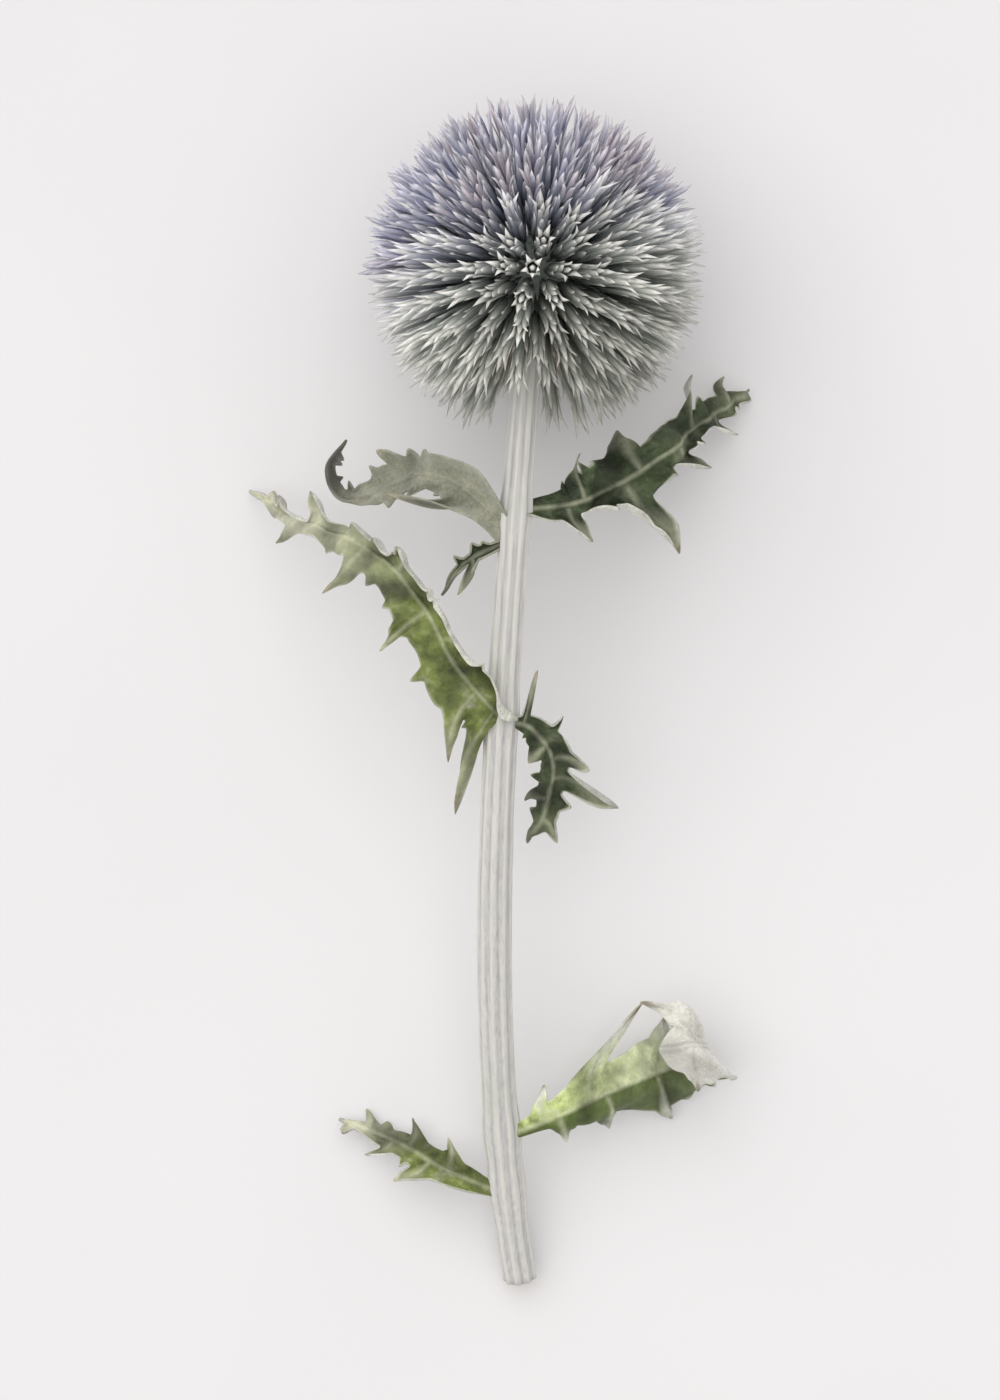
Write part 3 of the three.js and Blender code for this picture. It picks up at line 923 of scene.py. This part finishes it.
def outline_at(s, hand, out, body, lobes, teeth):
    """The outline at s mm along the leaf, on the side that hand says: body is half the blade's
    breadth without its lobes. reach is how far out the margin lies, sweep how far it runs on to the
    tip, and drop how far it sinks. The rest is for the point that lies at out, from 0 to 1, between
    midrib and margin: its relief, and how lobed, how near a vein and how dry it is."""
    at = SimpleNamespace(reach=body, sweep=0.0, drop=0.0, relief=0.0, lobe=0.0, vein=0.0, dry=0.0)
    filled = 0.0
    for middle, lobe_hand, length, lean, fall, breadth, tilt, curl, age in lobes:
        if lobe_hand != hand:
            continue
        rise = lobe_outline(s, middle, breadth)
        filled = max(filled, peak(s, middle, breadth, 0.4))
        at.reach += rise * length * math.cos(math.radians(lean))
        at.sweep += rise * length * math.sin(math.radians(lean))
        at.drop += rise * fall
        at.relief += peak(s, middle, breadth) * 0.12 * length * out
        at.relief += (tilt * out * (s - middle) / breadth + curl * out**3) * length * rise
        at.lobe = max(at.lobe, rise * out)
        at.dry = max(at.dry, rise * out * age)
        at.vein = max(at.vein, peak(s, middle, 0.5))
    for middle, tooth_hand, length, half_base in teeth:
        if tooth_hand != hand:
            continue
        rise = peak(s, middle, half_base, 1.2) * (1 - filled)
        at.reach += rise * length
        at.lobe = max(at.lobe, rise * out**6)
    return at


def rolled(distance, angle):
    """How far across and how far down a point comes to lie when the sheet between it and the
    midrib has rolled through this angle."""
    arc = angle if abs(angle) > LEAST_ROLL else LEAST_ROLL
    return distance * math.sin(arc) / arc, distance * (1 - math.cos(arc)) / arc


def make_leaf(
    name, node, finishes, midrib, widths, roll, twist, lobes, seed,
    crumple=1.0, taper=1.9, foot=0.45, tip_roll=1.0,
):
    """widths are from the midrib to the right and left margin, and foot is the share of them at the
    leaf's foot. roll is how far each half curls under, in radians, and tip_roll the share of it
    left at the tip. twist is the turn of the blade about its midrib at its foot and tip. Each lobe
    is the place along the midrib that it springs from, its side, 1 for right, its length, its lean
    to the tip, how far its end drops, and half its breadth. The higher taper is, the nearer to its
    tip the blade stays broad. crumple is the share of their height that its crinkles have."""
    rng = random.Random(seed)
    course = [Vector(point) for point in midrib]
    span = sum((b - a).length for a, b in zip(course, course[1:]))
    rows = max(FEWEST_ROWS, round(ROWS_PER_MM * span))
    frames = frames_along(course, rows)
    teeth = scattered_teeth(rng, span)
    lobes = grown_lobes(rng, span, lobes)
    bm = bmesh.new()
    blade_mark = bm.verts.layers.float_vector.new("blade")
    lines_mark = bm.verts.layers.float_vector.new("lines")
    wave_mark = bm.verts.layers.float.new("wave")
    grid = bmesh.ops.create_grid(bm, x_segments=BLADE_COLUMNS, y_segments=rows, size=1.0)["verts"]
    for vert in grid:
        hand = 1 if vert.co.x > 0 else -1
        out = abs(vert.co.x)
        t = 0.5 + 0.5 * vert.co.y
        s = t * span
        here, ahead, side, above = frames[round(t * rows)]
        body = widths[0] if hand > 0 else widths[1]
        body *= min(1, foot + 2.4 * t) * (1 - t**taper) ** 0.9
        body = LEAST_HALF_WIDTH + body * (1 + 0.1 * math.sin(0.6 * s + 3 * hand + seed))
        at = outline_at(s, hand, out, body, lobes, teeth)
        wave = crinkle(hand * at.reach * out, s, seed)
        vert[blade_mark] = Vector((hand * at.reach * out, t, at.lobe))
        vert[lines_mark] = Vector((at.vein * (1 - out**3), out, at.dry))
        vert[wave_mark] = wave
        curl = (roll[0] if hand > 0 else roll[1]) * (1 + (tip_roll - 1) * t**2)
        curl *= 1 + 0.9 * noise.noise(Vector((seed, s / 7, 5 * hand)))
        across, fall = rolled(at.reach * out, curl * out * min(1, body / at.reach + 0.35))
        height = wave * crumple * min(1, 0.3 + 2 * t) * (0.4 + 0.9 * out) + at.relief - fall
        turned = Matrix.Rotation(math.radians(twist[0] + (twist[1] - twist[0]) * t**2), 3, ahead)
        local = side * hand * across + above * height + ahead * at.sweep * out**2.5
        place = here + turned @ local - UP * at.drop * out**2
        place.z = max(place.z, TABLE_CLEARANCE)
        vert.co = place
    leaf = put_in_frame(bm, name, finishes, node)
    wall = leaf.modifiers.new("wall", "SOLIDIFY")
    wall.thickness = LEAF_THICKNESS * MM
    wall.offset = 0
    wall.material_offset = 1
    wall.material_offset_rim = 1
    smooth = leaf.modifiers.new("smooth", "SUBSURF")
    smooth.levels = 1
    smooth.render_levels = 1


# Olive top: mid green, fading to a greyish buff from halfway on. Dark top: a deep, cool green that fades
# only at the tip. Light top: pale yellow-green, fading paler further on, with painted shade on one half.
olive_top = make_leaf_top("olive_leaf_top", "#3b4520", "#6f7a40", "#b1b19c", "#8f9174", (0.46, 0.85))
dark_top = make_leaf_top("dark_leaf_top", "#20281a", "#3f4a30", "#70755c", "#8f917c", (0.75, 1.2))
light_top = make_leaf_top("light_leaf_top", "#3f4e1a", "#b8c682", "#d3d8b8", "#e9eae0", (0.15, 0.6), 0.9)
# Silver felt: clean and thick, as on most leaves. White felt: the same, bleached. Olive felt: worn
# so thin that the leaf shows through, and dark towards the tip.
silver_felt = make_leaf_felt("silver_felt", "#a9aa9d", "#dddcd2")
white_felt = make_leaf_felt("white_felt", "#b7b5aa", "#e6e5dc", "#d2d0c4")
olive_felt = make_leaf_felt("olive_felt", "#787966", "#a5a592", "#504f46", 0.6)

make_leaf(
    "arching_leaf", "upper_leaf", [olive_top, silver_felt],
    midrib=[
        (-2.9, -52.2, 21.6), (-5.4, -50.2, 23.0), (-9.4, -45.4, 23.6), (-12.4, -39.7, 23.4),
        (-17, -34, 21.5), (-22.5, -30.7, 17), (-28.5, -28.3, 10), (-34, -25, 0.7),
    ],
    widths=(4.4, 5.0),
    roll=(-2.5, 0.8),
    twist=(0, 25),
    lobes=[
        (0.1, -1, 13, -31, 7, 1.6),
        (0.19, -1, 6.5, -44, 3, 1.2),
        (0.43, -1, 4.5, -15, 3, 0.8),
        (0.54, 1, 2.5, 40, 1, 0.8),
        (0.64, -1, 6, 0, 4, 1.2),
        (0.78, 1, 4.5, 50, 1, 0.8),
        (0.84, -1, 3, 35, 1, 0.8),
    ],
    seed=3,
    taper=1.4,
)
make_leaf(
    "hanging_leaf", "axil_leaf", [dark_top, silver_felt],
    midrib=[
        (-2.9, -52.2, 21.4), (-0.2, -53.2, 20.8), (2.0, -56.6, 17.8), (1.6, -61.6, 13.2),
        (-0.8, -66.8, 8.7),
    ],
    widths=(2.6, 3.0),
    roll=(1.4, -1.2),
    twist=(0, 40),
    lobes=[
        (0.14, -1, 6.2, -4, 0, 0.45),
        (0.4, 1, 2.5, 35, 1, 0.8),
        (0.5, -1, 2.5, 35, 1, 1.0),
        (0.62, -1, 7, 25, 2, 0.9),
        (0.74, 1, 2.5, 40, 1, 0.8),
        (0.84, -1, 2.5, 50, 1, 0.7),
    ],
    seed=5,
    foot=0.1,
)
make_leaf(
    "pale_neck_leaf", "neck_leaf_left", [dark_top, olive_felt],
    midrib=[
        (-3.2, -30.4, 22.4), (-6.0, -27.2, 22.4), (-9.5, -24.4, 21), (-14, -23.6, 18.5),
        (-18.5, -25.4, 15), (-22.4, -25.8, 12.6), (-24, -22.6, 12.2), (-22, -19.2, 12.6),
    ],
    widths=(4.4, 4.4),
    roll=(0.9, 1.5),
    twist=(180, 190),
    lobes=[(0.2, 1, 9, 62, 1, 1.8), (0.4, 1, 2.5, 45, 2, 0.8), (0.46, -1, 2.5, 40, 1, 0.7)],
    seed=7,
    taper=0.75,
)
make_leaf(
    "dark_neck_leaf", "neck_leaf_right", [dark_top, silver_felt],
    midrib=[
        (-1.2, -27.9, 22.8), (5, -27, 21.8), (11, -24, 17.5), (17.5, -19, 11), (22, -15.5, 5.5),
        (26, -12.5, 0.7),
    ],
    widths=(3.6, 4.4),
    roll=(-1.5, 1.1),
    twist=(0, 35),
    lobes=[
        (0.16, 1, 4.5, 25, 2, 1.1),
        (0.22, -1, 4, 35, 1, 1.2),
        (0.38, 1, 9, 0, 4, 1.4),
        (0.44, -1, 4.5, 45, 2, 1.2),
        (0.56, 1, 4.5, 40, 3, 1.1),
        (0.66, -1, 6.5, 45, 2, 1.1),
        (0.78, 1, 4, 45, 1, 0.8),
        (0.86, -1, 3, 50, 1, 0.8),
    ],
    seed=9,
    crumple=1.4,
    foot=0.22,
)
make_leaf(
    "narrow_neck_leaf", "neck_leaf_narrow", [dark_top, olive_felt],
    midrib=[(-3.4, -31.6, 22.6), (-7.2, -33.4, 22.4), (-9, -35, 21), (-10.8, -37.6, 18.4)],
    widths=(0.9, 0.9),
    roll=(-1.4, -1.4),
    twist=(0, 30),
    lobes=[(0.34, -1, 4.5, 50, 1, 0.7)],
    seed=11,
    crumple=0.3,
)
make_leaf(
    "folded_lower_leaf", "lower_leaf_right", [light_top, white_felt],
    midrib=[
        (-3.2, -101.3, 9.4), (3, -98.8, 10.2), (8, -96.6, 8.4), (13, -94.8, 5.4),
        (17.4, -93.2, 4.2), (20.4, -91.6, 6.6), (19.4, -90.6, 10.2), (14.8, -90.8, 11.6),
    ],
    widths=(5.0, 3.8),
    roll=(1.9, 0.4),
    twist=(0, 0),
    lobes=[
        (0.1, -1, 3.5, 35, 1, 1.0),
        (0.14, 1, 4, -5, 1, 1.2),
        (0.26, -1, 14, 66, -5, 2.0),
        (0.3, 1, 3.5, 20, 1, 1.1),
        (0.48, 1, 2.5, 30, 1, 0.9),
        (0.54, -1, 3, 40, -1, 1.2),
        (0.87, -1, 6.5, 36, 0, 2.4),
        (0.9, 1, 2.5, 10, 0, 1.8),
    ],
    seed=13,
    foot=0.2,
    taper=16,
    tip_roll=-0.1,
)
make_leaf(
    "small_lower_leaf", "lower_leaf_left", [olive_top, silver_felt],
    midrib=[
        (-3.6, -108.4, 7.2), (-10.5, -105.6, 6.4), (-15, -103.2, 4.4), (-19.5, -101.4, 2.2),
        (-23.2, -100.4, 0.8),
    ],
    widths=(2.3, 2.3),
    roll=(1.1, -0.9),
    twist=(0, 20),
    lobes=[
        (0.24, 1, 3, 40, 1, 1.1),
        (0.34, -1, 3.5, 35, 1, 1.2),
        (0.5, 1, 3, 40, 1, 1.0),
        (0.6, -1, 3, 45, 1, 1.0),
        (0.76, 1, 2.5, 45, 0.6, 0.8),
    ],
    seed=15,
    foot=0.3,
)

# ----------------------------------------------------------
# Table, light and camera: a plain, very pale surface, soft even light from the room with a broad
# window above and to the left and white card held all round, and a long lens that looks straight
# down.
# ----------------------------------------------------------
TABLE_HALF = 3.0
ROOM_LIGHT = 0.69
# The picture's long side spans this much, in metres, at half the height of the flower.
PICTURE_HEIGHT = 0.162
LENS_MM = 110
SENSOR_MM = 36


# Painted board: matt, off-white, with the faintest clouding.
def make_painted_board():
    material, tree, surface, place = new_finish("painted_board", 0.9)
    cloud = add_node(tree, "TexNoise", {"Vector": place, "Scale": size(60), "Detail": 2.0})
    tone = add_node(tree, "ValToRGB", {"Fac": cloud.outputs["Fac"]})
    set_stops(tone, [(0.3, "#e6e5e5"), (0.7, "#e9e8e8")])
    tree.links.new(tone.outputs["Color"], surface.inputs["Base Color"])
    return material


def make_table():
    bm = bmesh.new()
    bmesh.ops.create_grid(bm, x_segments=8, y_segments=8, size=TABLE_HALF)
    mesh = bpy.data.meshes.new("table")
    bm.to_mesh(mesh)
    bm.free()
    mesh.materials.append(make_painted_board())
    table = bpy.data.objects.new("table", mesh)
    bpy.context.scene.collection.objects.link(table)


def add_light(name, way, spread, strength, colour, shadows=True):
    """A far, broad light that shines from way and is spread wide across the sky, in degrees."""
    light = bpy.data.lights.new(name, "SUN")
    light.angle = math.radians(spread)
    light.energy = strength
    light.color = linear(colour)[:3]
    light.use_shadow = shadows
    lamp = bpy.data.objects.new(name, light)
    lamp.location = Vector(way)
    lamp.rotation_euler = Vector(way).to_track_quat("Z", "Y").to_euler()
    bpy.context.scene.collection.objects.link(lamp)


make_table()
add_light("window_light", way=(-0.36, 0.4, 1.0), spread=80, strength=1.35, colour="#fffdfa")
# Light thrown back by the card comes from all round, so it casts no shadow and fills the others'.
add_light("card_fill", way=(0.0, 0.0, 1.0), spread=120, strength=0.35, colour="#fbfbff", shadows=False)

world = bpy.data.worlds.new("soft_room")
world.use_nodes = True
room = world.node_tree.nodes["Background"]
room.inputs["Color"].default_value = linear("#f2f1f2")
room.inputs["Strength"].default_value = ROOM_LIGHT
bpy.context.scene.world = world
bpy.context.scene.view_settings.view_transform = "Standard"

low, high = cad_box
lens = bpy.data.cameras.new("overhead_camera")
lens.lens = LENS_MM
lens.sensor_width = SENSOR_MM
camera = bpy.data.objects.new("overhead_camera", lens)
distance = PICTURE_HEIGHT * LENS_MM / SENSOR_MM
camera.location = ((low[0] + high[0]) / 2, (low[1] + high[1]) / 2, high[2] / 2 + distance)
bpy.context.scene.collection.objects.link(camera)
bpy.context.scene.camera = camera
